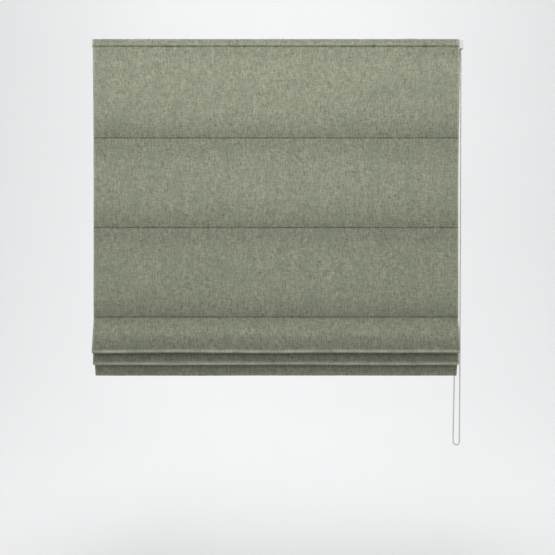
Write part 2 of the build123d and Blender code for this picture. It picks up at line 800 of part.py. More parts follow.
joint_from, joint_to = chain_route[6], chain_route[5]
joint_place = joint_from + (joint_to - joint_from) * connector_share
with BuildPart() as chain_connector:
    with BuildSketch(Plane(joint_place, z_dir=(joint_to - joint_from).normalized())):
        Circle(connector_r)
        Circle(bead_d / 2 + run_gap, mode=Mode.SUBTRACT)
    extrude(amount=connector_length)
save(chain_connector.part, "chain_connector")

rod_3_seam = [((panel_front, rod_levels[2]), 0)]
crest_mid_a = (crest_a["front"] + crest_a["width"] / 2, crest_a["top"])
crest_mid_b = (crest_b["front"] + crest_b["width"] / 2, crest_b["top"])
a_run = rod_3_seam + panel_run[2:] + fold_run[:4] + [(crest_mid_a, 0)]
b_run = [(crest_mid_a, 0)] + fold_run[4:8] + [(crest_mid_b, 0)]
print("cloth from rod 3 to rod 4", round(run_length(a_run), 1))
print("cloth from rod 4 to rod 5", round(run_length(b_run), 1))
print("flat face fabric", fabric_width + 2 * side_hem, "by", round(run_length(face_run), 1))
print("flat lining", lining_width, "by", round(run_length(lining_run), 1), "before its rod pockets")
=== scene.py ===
import json
import math
import bmesh
import bpy
from mathutils import Matrix, Vector, noise


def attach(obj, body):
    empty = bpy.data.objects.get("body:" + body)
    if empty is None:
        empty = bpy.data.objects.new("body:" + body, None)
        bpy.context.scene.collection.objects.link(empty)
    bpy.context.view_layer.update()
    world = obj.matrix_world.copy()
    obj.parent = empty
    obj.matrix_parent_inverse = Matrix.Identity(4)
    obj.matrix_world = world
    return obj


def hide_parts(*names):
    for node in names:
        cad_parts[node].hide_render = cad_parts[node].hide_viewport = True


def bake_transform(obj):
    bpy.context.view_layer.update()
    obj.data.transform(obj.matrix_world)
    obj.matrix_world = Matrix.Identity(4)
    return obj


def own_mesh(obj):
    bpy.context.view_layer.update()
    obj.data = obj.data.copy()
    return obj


# A roman blind. Metres: +X across the blind, -Y towards the room, and Z = 0 at the ceiling
# that it hangs from.
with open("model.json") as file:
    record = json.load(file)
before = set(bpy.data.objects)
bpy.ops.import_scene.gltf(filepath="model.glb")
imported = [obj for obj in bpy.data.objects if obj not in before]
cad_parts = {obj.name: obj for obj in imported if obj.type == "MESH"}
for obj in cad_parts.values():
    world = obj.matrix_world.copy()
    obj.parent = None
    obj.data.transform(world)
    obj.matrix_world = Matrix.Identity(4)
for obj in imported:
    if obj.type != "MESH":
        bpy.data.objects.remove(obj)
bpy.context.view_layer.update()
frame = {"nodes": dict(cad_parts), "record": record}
print("frame loaded")

camera = {"place": (0.0045, -3.508, -0.486), "lens": 75.7, "shiftUp": -0.138}
bpy.ops.object.camera_add(location=camera["place"], rotation=(math.pi / 2, 0, 0))
bpy.context.object.data.lens = camera["lens"]
bpy.context.object.data.shift_y = camera["shiftUp"]
bpy.context.scene.camera = bpy.context.object
bpy.context.scene.view_settings.view_transform = "Standard"


# Node helpers
def addNode(tree, kind, values=None, **settings):
    # values holds plain numbers, or output sockets to link from
    node = tree.nodes.new("ShaderNode" + kind)
    for key, value in settings.items():
        setattr(node, key, value)
    for key, value in (values or {}).items():
        if isinstance(value, bpy.types.NodeSocket):
            tree.links.new(value, node.inputs[key])
        else:
            node.inputs[key].default_value = value
    return node


def doMath(tree, operation, first, second=0.0):
    return addNode(tree, "Math", {0: first, 1: second}, operation=operation).outputs[0]


def mixColour(tree, share, first, second, blend="MIX"):
    values = {0: share, 6: first, 7: second}
    return addNode(tree, "Mix", values, data_type="RGBA", blend_type=blend).outputs[2]


def spread(tree, value, low, high, newLow=0.0, newHigh=1.0):
    values = {0: value, 1: low, 2: high, 3: newLow, 4: newHigh}
    return addNode(tree, "MapRange", values).outputs[0]


def grainNoise(tree, place, sizes, detail=2.0):
    # sizes is the grain's length along each axis
    values = {0: place, 1: [1 / size for size in sizes]}
    scaled = addNode(tree, "VectorMath", values, operation="MULTIPLY").outputs[0]
    return addNode(tree, "TexNoise", {"Vector": scaled, "Scale": 1.0, "Detail": detail}).outputs[0]


def startGroup(name, inputs, outputs):
    group = bpy.data.node_groups.new(name, "ShaderNodeTree")
    for label, kind in inputs:
        group.interface.new_socket(label, in_out="INPUT", socket_type="NodeSocket" + kind)
    for label in outputs:
        group.interface.new_socket(label, in_out="OUTPUT", socket_type="NodeSocketFloat")
    start = group.nodes.new("NodeGroupInput")
    end = group.nodes.new("NodeGroupOutput")
    return group, start.outputs, end.inputs


def useGroup(tree, group, values):
    node = tree.nodes.new("ShaderNodeGroup")
    node.node_tree = group
    for key, value in values.items():
        if isinstance(value, bpy.types.NodeSocket):
            tree.links.new(value, node.inputs[key])
        else:
            node.inputs[key].default_value = value
    return node.outputs


# Plain weave with uneven threads: Place is the cloth's own flat position in metres
weaving = {
    "wander": (0.006, 0.006, 1.0),  # how soon the threads drift from straight
    "crossing": 0.35,  # softness of the step from one thread to the other
    "under": 0.35,  # height of a thread where it passes under
    "slubDetail": 2.5, "slubApart": (7.3, 2.1, 0.5),  # keeps warp and weft slubs unlike each other
    "patch": (0.035, 0.11, 1.0), "patchDetail": 3.0,  # yarn from different dye lots
}


def makeWeaveGroup():
    inputs = [("Place", "Vector"), ("Thread", "Float"), ("Slub Length", "Float"), ("Slub Width", "Float")]
    outputs = ("Height", "Over", "Warp", "Weft", "Patch")
    group, given, result = startGroup("plainWeave", inputs, outputs)
    place = given["Place"]
    parts = addNode(group, "SeparateXYZ", {0: place}).outputs
    wander = grainNoise(group, place, weaving["wander"])
    waves = []
    for n in (0, 1):
        turns = doMath(group, "DIVIDE", parts[n], given["Thread"])
        shifted = doMath(group, "ADD", turns, wander)
        waves.append(doMath(group, "SINE", doMath(group, "MULTIPLY", shifted, math.pi)))
    both = doMath(group, "MULTIPLY", waves[0], waves[1])
    over = spread(group, both, -weaving["crossing"], weaving["crossing"])
    rounds = [doMath(group, "ABSOLUTE", wave) for wave in waves]
    lifted = doMath(group, "MULTIPLY", rounds[0], spread(group, over, 0, 1, weaving["under"], 1.0))
    crossed = doMath(group, "MULTIPLY", rounds[1], spread(group, over, 0, 1, 1.0, weaving["under"]))
    group.links.new(doMath(group, "MAXIMUM", lifted, crossed), result["Height"])
    group.links.new(over, result["Over"])
    for label, longAxis in (("Warp", 1), ("Weft", 0)):
        sizes = [given["Slub Width"]] * 2
        sizes[longAxis] = given["Slub Length"]
        size = addNode(group, "CombineXYZ", {0: sizes[0], 1: sizes[1], 2: 1.0}).outputs[0]
        scaled = addNode(group, "VectorMath", {0: place, 1: size}, operation="DIVIDE").outputs[0]
        apart = (weaving["slubApart"][0] * longAxis, *weaving["slubApart"][1:])
        moved = addNode(group, "VectorMath", {0: scaled, 1: apart}, operation="ADD").outputs[0]
        values = {"Vector": moved, "Scale": 1.0, "Detail": weaving["slubDetail"]}
        group.links.new(addNode(group, "TexNoise", values).outputs[0], result[label])
    patch = grainNoise(group, place, weaving["patch"], weaving["patchDetail"])
    group.links.new(patch, result["Patch"])
    return group


# Fine unevenness of moulded, coated or drawn surfaces
mottleRatio = 18.0  # mottle is this many grains wide


def makeSurfaceGroup():
    inputs = [("Place", "Vector"), ("Grain", "Float"), ("Pull", "Float")]
    group, given, result = startGroup("surfaceGrain", inputs, ("Mottle", "Fine", "Drawn"))
    place = given["Place"]
    for label, ratio, detail in (("Mottle", mottleRatio, 3.0), ("Fine", 1.0, 1.0)):
        size = doMath(group, "MULTIPLY", given["Grain"], ratio)
        scale = doMath(group, "DIVIDE", 1.0, size)
        texture = addNode(group, "TexNoise", {"Vector": place, "Scale": scale, "Detail": detail})
        group.links.new(texture.outputs[0], result[label])
    size = doMath(group, "MULTIPLY", given["Grain"], given["Pull"])
    sizes = addNode(group, "CombineXYZ", {0: size, 1: given["Grain"], 2: given["Grain"]}).outputs[0]
    scaled = addNode(group, "VectorMath", {0: place, 1: sizes}, operation="DIVIDE").outputs[0]
    drawn = addNode(group, "TexNoise", {"Vector": scaled, "Scale": 1.0, "Detail": 2.0})
    group.links.new(drawn.outputs[0], result["Drawn"])
    return group


weaveGroup = makeWeaveGroup()
surfaceGroup = makeSurfaceGroup()


def startMaterial(name, plain):
    material = bpy.data.materials.new(name)
    material.use_nodes = True
    shader = material.node_tree.nodes["Principled BSDF"]
    for key, value in plain.items():
        shader.inputs[key].default_value = value
    return material, material.node_tree, shader


def addBump(tree, shader, height, strength, distance):
    bump = addNode(tree, "Bump", {"Height": height, "Strength": strength, "Distance": distance})
    tree.links.new(bump.outputs[0], shader.inputs["Normal"])


def colour(red, green, blue):
    return (red, green, blue, 1.0)


# A narrower warpRange or weftRange makes the slubs stand out more. Each finish's shade factor is how dark
# the painted shade at the seams and under the folds makes the cloth, and edge is the pale colour of the side
# edges and of the painted highlight on the fold lips.
clothFinishes = {
    "sageLinen": {
        "thread": 0.0008, "slubLength": 0.012, "slubWidth": 0.0015,
        "warpRange": (0.37, 0.63), "weftRange": (0.31, 0.69), "bump": 0.55, "sheen": 0.25,
        "light": colour(0.400, 0.415, 0.310), "dark": colour(0.125, 0.132, 0.086),
        "patch": colour(0.205, 0.240, 0.180), "patchShare": 0.35,
        "edge": colour(0.47, 0.485, 0.375), "paintedShadeDepth": 0.62,
    },
    "liningSateen": {
        "thread": 0.0005, "slubLength": 0.022, "slubWidth": 0.0012,
        "warpRange": (0.3, 0.7), "weftRange": (0.3, 0.7), "bump": 0.3, "sheen": 0.15,
        "light": colour(0.83, 0.80, 0.72), "dark": colour(0.70, 0.665, 0.58),
        "patch": colour(0.77, 0.735, 0.65), "patchShare": 0.5,
        "edge": colour(0.83, 0.80, 0.72), "paintedShadeDepth": 0.9,
    },
}
clothShading = {
    "patchEdges": (0.45, 0.68), "hollowShade": 0.72, "seamShare": 0.9, "seamDepth": 0.25,
    "paleBreakRange": (0.36, 0.64), "paleBreakLow": 0.6, "roughRange": (0.3, 0.7), "rough": (0.95, 0.8),
    "bumpDepth": 0.0003,
}


def makeClothMaterial(name, finish):
    plain = {
        "Roughness": 0.9, "Sheen Weight": finish["sheen"], "Sheen Roughness": 0.4,
        "Specular IOR Level": 0.2,
    }
    material, tree, shader = startMaterial(name, plain)
    place = addNode(tree, "UVMap", uv_map="clothPlace").outputs[0]
    weave = useGroup(tree, weaveGroup, {
        "Place": place, "Thread": finish["thread"],
        "Slub Length": finish["slubLength"], "Slub Width": finish["slubWidth"],
    })
    tones = []
    for label, span in (("Warp", finish["warpRange"]), ("Weft", finish["weftRange"])):
        share = spread(tree, weave[label], *span)
        tones.append(mixColour(tree, share, finish["dark"], finish["light"]))
    woven = mixColour(tree, weave["Over"], tones[1], tones[0])
    patchShare = spread(tree, weave["Patch"], *clothShading["patchEdges"], 0.0, finish["patchShare"])
    patched = mixColour(tree, patchShare, woven, finish["patch"])
    # painted shade: the cloth is darker where its threads dip into the hollows of the weave
    hollowShade = spread(tree, weave["Height"], 0.0, 0.6, clothShading["hollowShade"], 1.0)
    shaded = mixColour(tree, 1.0, patched, hollowShade, "MULTIPLY")
    seam = addNode(tree, "Attribute", attribute_name="seamShade").outputs["Fac"]
    pale = addNode(tree, "Attribute", attribute_name="edgePale").outputs["Fac"]
    # the next attribute carries painted shade, which darkens the cloth beside the seams, along the header,
    # down the first fold and under each fold lip
    tone = addNode(tree, "Attribute", attribute_name="paintedShade").outputs["Fac"]
    deepening = spread(tree, tone, 0, 1, 1.0, finish["paintedShadeDepth"])
    toned = mixColour(tree, 1.0, shaded, deepening, "MULTIPLY")
    # pale side edges, and the painted highlight along the fold lips, broken up by the slubs
    paleBreakup = spread(tree, weave["Warp"], *clothShading["paleBreakRange"], clothShading["paleBreakLow"], 1.0)
    edged = mixColour(tree, doMath(tree, "MULTIPLY", pale, paleBreakup), toned, finish["edge"])
    deep = [clothShading["seamDepth"] * value for value in finish["dark"][:3]]
    seamShare = doMath(tree, "MULTIPLY", seam, clothShading["seamShare"])
    seamed = mixColour(tree, seamShare, edged, colour(*deep))
    tree.links.new(seamed, shader.inputs["Base Color"])
    rough = spread(tree, weave["Warp"], *clothShading["roughRange"], *clothShading["rough"])
    tree.links.new(rough, shader.inputs["Roughness"])
    slubs = doMath(tree, "ADD", weave["Warp"], weave["Weft"])
    height = doMath(tree, "ADD", weave["Height"], slubs)
    addBump(tree, shader, height, finish["bump"], clothShading["bumpDepth"])
    return material


# Thread, cord and tape: fine twisted or napped yarn. twist is the length of one turn, and the dark colour is
# painted shade in the grooves between turns.
yarnFinishes = {
    "seamThread": {
        "light": colour(0.16, 0.175, 0.115), "dark": colour(0.06, 0.068, 0.042), "twist": 0.0007,
    },
    "liningThread": {"light": colour(0.80, 0.77, 0.69), "dark": colour(0.55, 0.52, 0.45), "twist": 0.0007},
    "braidedCord": {"light": colour(0.86, 0.85, 0.81), "dark": colour(0.60, 0.59, 0.55), "twist": 0.0012},
    "hookTape": {"light": colour(0.84, 0.84, 0.82), "dark": colour(0.52, 0.52, 0.50), "twist": 0.0015},
    "loopTape": {"light": colour(0.88, 0.88, 0.86), "dark": colour(0.62, 0.62, 0.60), "twist": 0.0009},
}
yarnShading = {
    "pull": 3.0, "lightRange": (0.4, 1.5), "roughRange": (0.3, 0.7), "rough": (0.78, 0.95),
    "bump": 0.5, "bumpDepth": 0.0002,
}


def makeYarnMaterial(name, finish):
    plain = {
        "Roughness": 0.85, "Sheen Weight": 0.2, "Sheen Roughness": 0.5, "Specular IOR Level": 0.25,
    }
    material, tree, shader = startMaterial(name, plain)
    place = addNode(tree, "TexCoord").outputs["Object"]
    grain = useGroup(tree, surfaceGroup, {
        "Place": place, "Grain": finish["twist"], "Pull": yarnShading["pull"],
    })
    parts = addNode(tree, "SeparateXYZ", {0: place}).outputs
    along = doMath(tree, "ADD", parts[0], parts[2])
    turns = doMath(tree, "MULTIPLY", along, math.pi / finish["twist"])
    twist = doMath(tree, "ABSOLUTE", doMath(tree, "SINE", turns))
    height = doMath(tree, "ADD", twist, grain["Fine"])
    # painted shade: the low parts of the twist take the dark colour
    share = spread(tree, height, *yarnShading["lightRange"])
    tree.links.new(mixColour(tree, share, finish["dark"], finish["light"]), shader.inputs["Base Color"])
    rough = spread(tree, grain["Drawn"], *yarnShading["roughRange"], *yarnShading["rough"])
    tree.links.new(rough, shader.inputs["Roughness"])
    addBump(tree, shader, height, yarnShading["bump"], yarnShading["bumpDepth"])
    return material


# Hard finishes: grain in metres, and pull stretches it along the blind as brushing does
hardFinishes = {
    "rail": {
        "base": colour(0.66, 0.66, 0.65), "wearAndPaintedHighlight": colour(0.58, 0.58, 0.57), "rough": (0.34, 0.46),
        "metal": 0.0, "grain": 0.0007, "pull": 1.0, "bump": 0.25, "coat": 0.15,
    },
    "bar": {
        "base": colour(0.66, 0.66, 0.67), "wearAndPaintedHighlight": colour(0.52, 0.52, 0.53), "rough": (0.28, 0.48),
        "metal": 1.0, "grain": 0.0003, "pull": 90.0, "bump": 0.2, "coat": 0.0,
    },
    "white_plastic": {
        "base": colour(0.62, 0.62, 0.60), "wearAndPaintedHighlight": colour(0.55, 0.545, 0.52), "rough": (0.36, 0.52),
        "metal": 0.0, "grain": 0.0004, "pull": 1.0, "bump": 0.2, "coat": 0.0,
    },
    "clear_plastic": {
        "base": colour(0.78, 0.79, 0.77), "wearAndPaintedHighlight": colour(0.68, 0.69, 0.67), "rough": (0.12, 0.25),
        "metal": 0.0, "grain": 0.0008, "pull": 1.0, "bump": 0.1, "coat": 0.3,
    },
    "tip_plastic": {
        "base": colour(0.78, 0.78, 0.75), "wearAndPaintedHighlight": colour(0.70, 0.70, 0.66), "rough": (0.38, 0.5),
        "metal": 0.0, "grain": 0.0003, "pull": 1.0, "bump": 0.15, "coat": 0.0,
    },
    "ring_plastic": {
        "base": colour(0.84, 0.84, 0.81), "wearAndPaintedHighlight": colour(0.76, 0.76, 0.72), "rough": (0.15, 0.28),
        "metal": 0.0, "grain": 0.0005, "pull": 1.0, "bump": 0.08, "coat": 0.3,
    },
    "bracket_steel": {
        "base": colour(0.62, 0.62, 0.61), "wearAndPaintedHighlight": colour(0.48, 0.48, 0.47), "rough": (0.3, 0.45),
        "metal": 0.0, "grain": 0.0006, "pull": 1.0, "bump": 0.25, "coat": 0.2,
    },
    "catch_steel": {
        "base": colour(0.60, 0.60, 0.61), "wearAndPaintedHighlight": colour(0.42, 0.42, 0.43), "rough": (0.25, 0.45),
        "metal": 1.0, "grain": 0.0003, "pull": 12.0, "bump": 0.2, "coat": 0.0,
    },
    "plated_steel": {
        "base": colour(0.62, 0.62, 0.63), "wearAndPaintedHighlight": colour(0.45, 0.45, 0.47), "rough": (0.22, 0.42),
        "metal": 1.0, "grain": 0.0004, "pull": 30.0, "bump": 0.2, "coat": 0.0,
    },
    "rod_fibre": {
        "base": colour(0.80, 0.82, 0.76), "wearAndPaintedHighlight": colour(0.66, 0.69, 0.60), "rough": (0.28, 0.42),
        "metal": 0.0, "grain": 0.0003, "pull": 140.0, "bump": 0.25, "coat": 0.1,
    },
    "chain_metal": {
        "base": colour(0.50, 0.495, 0.48), "wearAndPaintedHighlight": colour(0.30, 0.295, 0.28), "rough": (0.20, 0.34),
        "metal": 1.0, "grain": 0.0006, "pull": 1.0, "bump": 0.08, "coat": 0.0,
    },
}
hardShading = {
    "wornRange": (0.42, 0.68), "streakRange": (0.35, 0.65), "streakMost": 0.6,
    "roughRange": (0.35, 0.65), "bumpDepth": 0.00015,
}


def makeHardMaterial(name, finish):
    plain = {"Metallic": finish["metal"], "Coat Weight": finish["coat"], "Coat Roughness": 0.2}
    material, tree, shader = startMaterial(name, plain)
    place = addNode(tree, "TexCoord").outputs["Object"]
    values = {"Place": place, "Grain": finish["grain"], "Pull": finish["pull"]}
    grain = useGroup(tree, surfaceGroup, values)
    wear = spread(tree, grain["Mottle"], *hardShading["wornRange"])
    streak = spread(tree, grain["Drawn"], *hardShading["streakRange"], 0.0, hardShading["streakMost"])
    share = doMath(tree, "MAXIMUM", wear, streak)
    tree.links.new(mixColour(tree, share, finish["base"], finish["wearAndPaintedHighlight"]), shader.inputs["Base Color"])
    rough = spread(tree, grain["Mottle"], *hardShading["roughRange"], *finish["rough"])
    tree.links.new(rough, shader.inputs["Roughness"])
    height = doMath(tree, "ADD", grain["Fine"], grain["Drawn"])
    addBump(tree, shader, height, finish["bump"], hardShading["bumpDepth"])
    return material


sageLinen = makeClothMaterial("sageLinen", clothFinishes["sageLinen"])
liningSateen = makeClothMaterial("liningSateen", clothFinishes["liningSateen"])
yarns = {name: makeYarnMaterial(name, finish) for name, finish in yarnFinishes.items()}
hardMaterials = {name: makeHardMaterial(name, finish) for name, finish in hardFinishes.items()}
print("materials made")


# Modelling steps that several pieces share
def clearSelection():
    if bpy.context.object and bpy.context.object.mode != "OBJECT":
        bpy.ops.object.mode_set(mode="OBJECT")
    bpy.ops.object.select_all(action="DESELECT")


def useOnly(piece):
    clearSelection()
    piece.select_set(True)
    bpy.context.view_layer.objects.active = piece


def meshPiece(name, mesh, material):
    piece = bpy.data.objects.new(name, mesh)
    bpy.context.scene.collection.objects.link(piece)
    piece.data.materials.clear()
    piece.data.materials.append(material)
    return piece


def joinCopies(name, pattern, placings, material):
    # one piece made of the pattern's copies, and the pattern goes
    build = bmesh.new()
    for placing in placings:
        before = len(build.verts)
        build.from_mesh(pattern.data)
        build.verts.ensure_lookup_table()
        bmesh.ops.transform(build, matrix=placing, verts=build.verts[before:])
    mesh = bpy.data.meshes.new(name)
    build.to_mesh(mesh)
    build.free()
    mesh.shade_smooth()
    bpy.data.objects.remove(pattern)
    return meshPiece(name, mesh, material)


def thicken(piece, thickness):
    useOnly(piece)
    modifier = piece.modifiers.new("thickness", "SOLIDIFY")
    modifier.thickness = thickness
    modifier.offset = 0.0
    modifier.use_even_offset = False
    bpy.ops.object.modifier_apply(modifier="thickness")
    bpy.ops.object.shade_smooth_by_angle(angle=math.radians(50))


# Bead chain: route holds the control points of its smooth line
chain = {
    "route": [
        (0.55375, -0.011459, -0.031509), (0.55375, -0.011459, -0.075), (0.55125, -0.0093, -1.030),
        (0.54975, -0.0083, -1.196), (0.54975, -0.0083, -1.219), (0.53345, 0.0083, -1.219),
        (0.53345, 0.0083, -1.196), (0.53745, 0.0113, -1.030), (0.55375, 0.011459, -0.075),
        (0.55375, 0.011459, -0.031509),
    ],
    "beadRadius": 0.00225, "linkRadius": 0.00055, "pitch": 0.006, "length": 2.389,
    "wheelCentre": (0.55375, 0.0, -0.016), "wheelRadius": 0.011459, "wheelSteps": 6,
    "firstGap": 0.00249,
}


def routePoints(route, name):
    curve = bpy.data.curves.new(name, "CURVE")
    curve.dimensions = "3D"
    curve.resolution_u = 32
    spline = curve.splines.new("NURBS")
    spline.points.add(len(route) - 1)
    for point, place in zip(spline.points, route):
        point.co = (*place, 1.0)
    spline.order_u = 3
    spline.use_endpoint_u = True
    holder = bpy.data.objects.new(name, curve)
    bpy.context.scene.collection.objects.link(holder)
    bpy.context.view_layer.update()
    line = bpy.data.meshes.new_from_object(holder)
    points = [vertex.co.copy() for vertex in line.vertices]
    bpy.data.objects.remove(holder)
    return points


def pointsAlong(points, first, last, step):
    # places a step apart on the line, from first to last along it
    spans = [(b - a).length for a, b in zip(points, points[1:])]
    total = sum(spans)
    count = round((total - first - last) / step)
    wanted = [first + (total - first - last) * n / count for n in range(count + 1)]
    places = []
    passed = 0.0
    n = 0
    for distance in wanted:
        while n < len(spans) - 1 and passed + spans[n] < distance:
            passed += spans[n]
            n += 1
        places.append(points[n].lerp(points[n + 1], (distance - passed) / spans[n]))
    return places


def makeBeads(name, places):
    clearSelection()
    bpy.ops.mesh.primitive_uv_sphere_add(segments=8, ring_count=6, radius=chain["beadRadius"])
    bead = bpy.context.object
    turned = [Matrix.Translation(place) for place in places]
    beads = joinCopies(name, bead, turned, hardMaterials["chain_metal"])
    clearSelection()
    bpy.ops.mesh.primitive_cylinder_add(
        vertices=6, radius=chain["linkRadius"], depth=chain["pitch"], end_fill_type="NOTHING",
    )
    link = bpy.context.object
    turned = []
    for a, b in zip(places, places[1:]):
        way = (b - a).to_track_quat("Z", "Y").to_matrix().to_4x4()
        turned.append(Matrix.Translation((a + b) / 2) @ way)
    links = joinCopies(name + "_links", link, turned, hardMaterials["chain_metal"])
    useOnly(beads)
    links.select_set(True)
    bpy.ops.object.join()
    return beads


chainLine = routePoints(chain["route"], "chainRoute")
freePlaces = pointsAlong(chainLine, chain["firstGap"], chain["firstGap"], chain["pitch"])
beadChain = makeBeads("bead_chain_beads", freePlaces)
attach(beadChain, "root")
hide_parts("bead_chain")
wheelPlaces = []  # two beads below the wheel in front, a half turn over it, and two behind
centre = Vector(chain["wheelCentre"])
for n in (2, 1):
    wheelPlaces.append(centre + Vector((0, -chain["wheelRadius"], -n * chain["pitch"])))
for n in range(chain["wheelSteps"] + 1):
    angle = math.pi * n / chain["wheelSteps"]
    wheelPlaces.append(centre + chain["wheelRadius"] * Vector((0, -math.cos(angle), math.sin(angle))))
for n in (1, 2):
    wheelPlaces.append(centre + Vector((0, chain["wheelRadius"], -n * chain["pitch"])))
wheelBeads = makeBeads("bead_chain_wheel_beads", wheelPlaces)
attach(wheelBeads, "root")
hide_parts("bead_chain_on_wheel")
print("bead chain made,", len(freePlaces), "free beads")

# The cloth's section as (y, z) points with the radius at each: the turned header, the front, the
# two folds, and the hem
clothSection = [
    ((-0.02205, -0.0245), 0.0), ((-0.02205, -0.0025), 0.00088), ((-0.02385, -0.0025), 0.00088),
    ((-0.02385, -0.036), 0.150), ((-0.008, -0.297), 0.300), ((-0.008, -0.846), 0.040),
    ((-0.031, -0.884), 0.120), ((-0.0475, -0.9385), 0.006), ((-0.034, -0.9385), 0.006),
    ((-0.009, -0.857), 0.00095), ((-0.007, -0.857), 0.00095), ((-0.022, -0.9765), 0.0054),
    ((-0.010, -0.9765), 0.0054), ((-0.002, -0.8685), 0.00095), ((0.0, -0.8685), 0.00095),
    ((0.003, -1.012), 0.0023), ((0.0078, -1.012), 0.0023), ((0.0078, -0.982), 0.0),
]
cloth = {
    "halfWidth": 0.547, "thickness": 0.0008, "sideHem": 0.030, "column": 0.0055, "row": 0.0065,
    "liningHalf": 0.535, "liningThickness": 0.0005, "liningDepth": 0.00215,
    "liningColumn": 0.011, "liningRow": 0.009,
    "foldDepth": 0.00130, "foldDepthRun": 0.05,  # the lining lies closer to the face in the folds
    "swell": 0.0018, "swellReach": 0.012,  # fullness between the seams
    "undulation": 0.0022, "undulationReach": 0.09, "undulationRate": (3.4, 2.3),
    "pucker": 0.0007, "puckerReach": 0.014, "puckerWaves": (0.016, 0.007),
    "drape": 0.0012, "drapeReach": 0.06, "drapeStart": 0.006, "drapeWave": 0.034,
    "fadeReach": 0.03,  # all of these fade out past the last seam
    "hemWander": 0.0006, "hemWave": 0.11, "hemFrom": 0.4, "hemRun": 0.1,
    "flapPull": 0.00375, "flapTop": -0.95, "flapDepth": 0.062,  # the flap narrows towards its foot
    "liningFoot": -0.984, "lipShare": 0.22,  # how far round its first bend each lip carries the painted highlight
}
# Waves of the two fold lips and the flap: top and fall say where they grow, out is their size
foldWaves = [
    {"top": -0.846, "fall": 0.0885, "out": 0.0032, "seed": 2.2},
    {"top": -0.862, "fall": 0.111, "out": 0.0022, "seed": 6.1},
    {"top": -0.88, "fall": 0.13, "out": 0.0, "seed": 9.4},
]
lipWaves = {"out": 0.27, "long": (0.21, 0.0016), "short": (0.06, 0.0005), "flapShare": 0.3}
rodHeights = (-0.297, -0.5655, -0.834)
headerEnd = -0.0285
rowStitch = -0.0238


def sectionParts(section):
    # straight runs and bends, each with where it starts along the cloth
    points = [Vector(point) for point, _ in section]
    parts = []
    start = points[0]
    distance = 0.0
    for before, corner, after, (_, radius) in zip(points, points[1:], points[2:], section[1:]):
        wayIn = (corner - before).normalized()
        wayOut = (after - corner).normalized()
        turn = wayIn.angle_signed(wayOut)
        cut = radius * math.tan(abs(turn) / 2)
        bendStart = corner - wayIn * cut
        parts.append(("run", distance, (bendStart - start).length, start, wayIn))
        distance += (bendStart - start).length
        leftwards = wayIn.cross(wayOut) > 0
        side = Vector((-wayIn.y, wayIn.x)) * (1 if leftwards else -1)
        more = (-side, radius, abs(turn), leftwards)
        parts.append(("bend", distance, radius * abs(turn), bendStart + side * radius, more))
        distance += radius * abs(turn)
        start = corner + wayOut * cut
    way = (points[-1] - start).normalized()
    parts.append(("run", distance, (points[-1] - start).length, start, way))
    return parts


clothParts = sectionParts(clothSection)
clothLength = clothParts[-1][1] + clothParts[-1][2]


def sectionAt(distance):
    # the place on the face side, and the way to the lining side
    for kind, start, length, place, more in clothParts:
        if distance <= start + length + 1e-9:
            break
    along = distance - start
    if kind == "run":
        return place + more * along, Vector((-more.y, more.x))
    outwards, radius, turn, leftwards = more
    angle = along / radius * (1 if leftwards else -1)
    spoke = Vector((
        outwards.x * math.cos(angle) - outwards.y * math.sin(angle),
        outwards.x * math.sin(angle) + outwards.y * math.cos(angle),
    ))
    return place + spoke * radius, -spoke if leftwards else spoke


def distanceWhere(height, after, downwards=True):
    # the first distance past after at which the cloth reaches this height
    low = after
    step = 0.002
    while True:
        z = sectionAt(low + step)[0].y
        if (z <= height) if downwards else (z >= height):
            break
        low += step
    high = low + step
    for _ in range(30):
        middle = (low + high) / 2
        z = sectionAt(middle)[0].y
        if (z <= height) if downwards else (z >= height):
            high = middle
        else:
            low = middle
    return high


frontStart = clothParts[4][1]
headerStitch = distanceWhere(rowStitch, frontStart)
headerFoot = distanceWhere(headerEnd, frontStart)
seams = [distanceWhere(height, frontStart) for height in rodHeights]
bends = [part for part in clothParts if part[0] == "bend"]
lipA = (bends[6][1] + bends[7][1] + bends[7][2]) / 2
crestA = (bends[8][1] + bends[9][1] + bends[9][2]) / 2
lipB = (bends[10][1] + bends[11][1] + bends[11][2]) / 2
crestB = (bends[12][1] + bends[13][1] + bends[13][2]) / 2
lipAFront = bends[6][1] + cloth["lipShare"] * bends[6][2]
lipBFront = bends[10][1] + cloth["lipShare"] * bends[10][2]
liningEnd = distanceWhere(cloth["liningFoot"], crestB)
print("cloth length", round(clothLength, 4))


def smooth(value):
    value = min(max(value, 0.0), 1.0)
    return value * value * (3 - 2 * value)


def wave(x, length, seed):
    return noise.noise(Vector((x / length, seed, 0.37)))


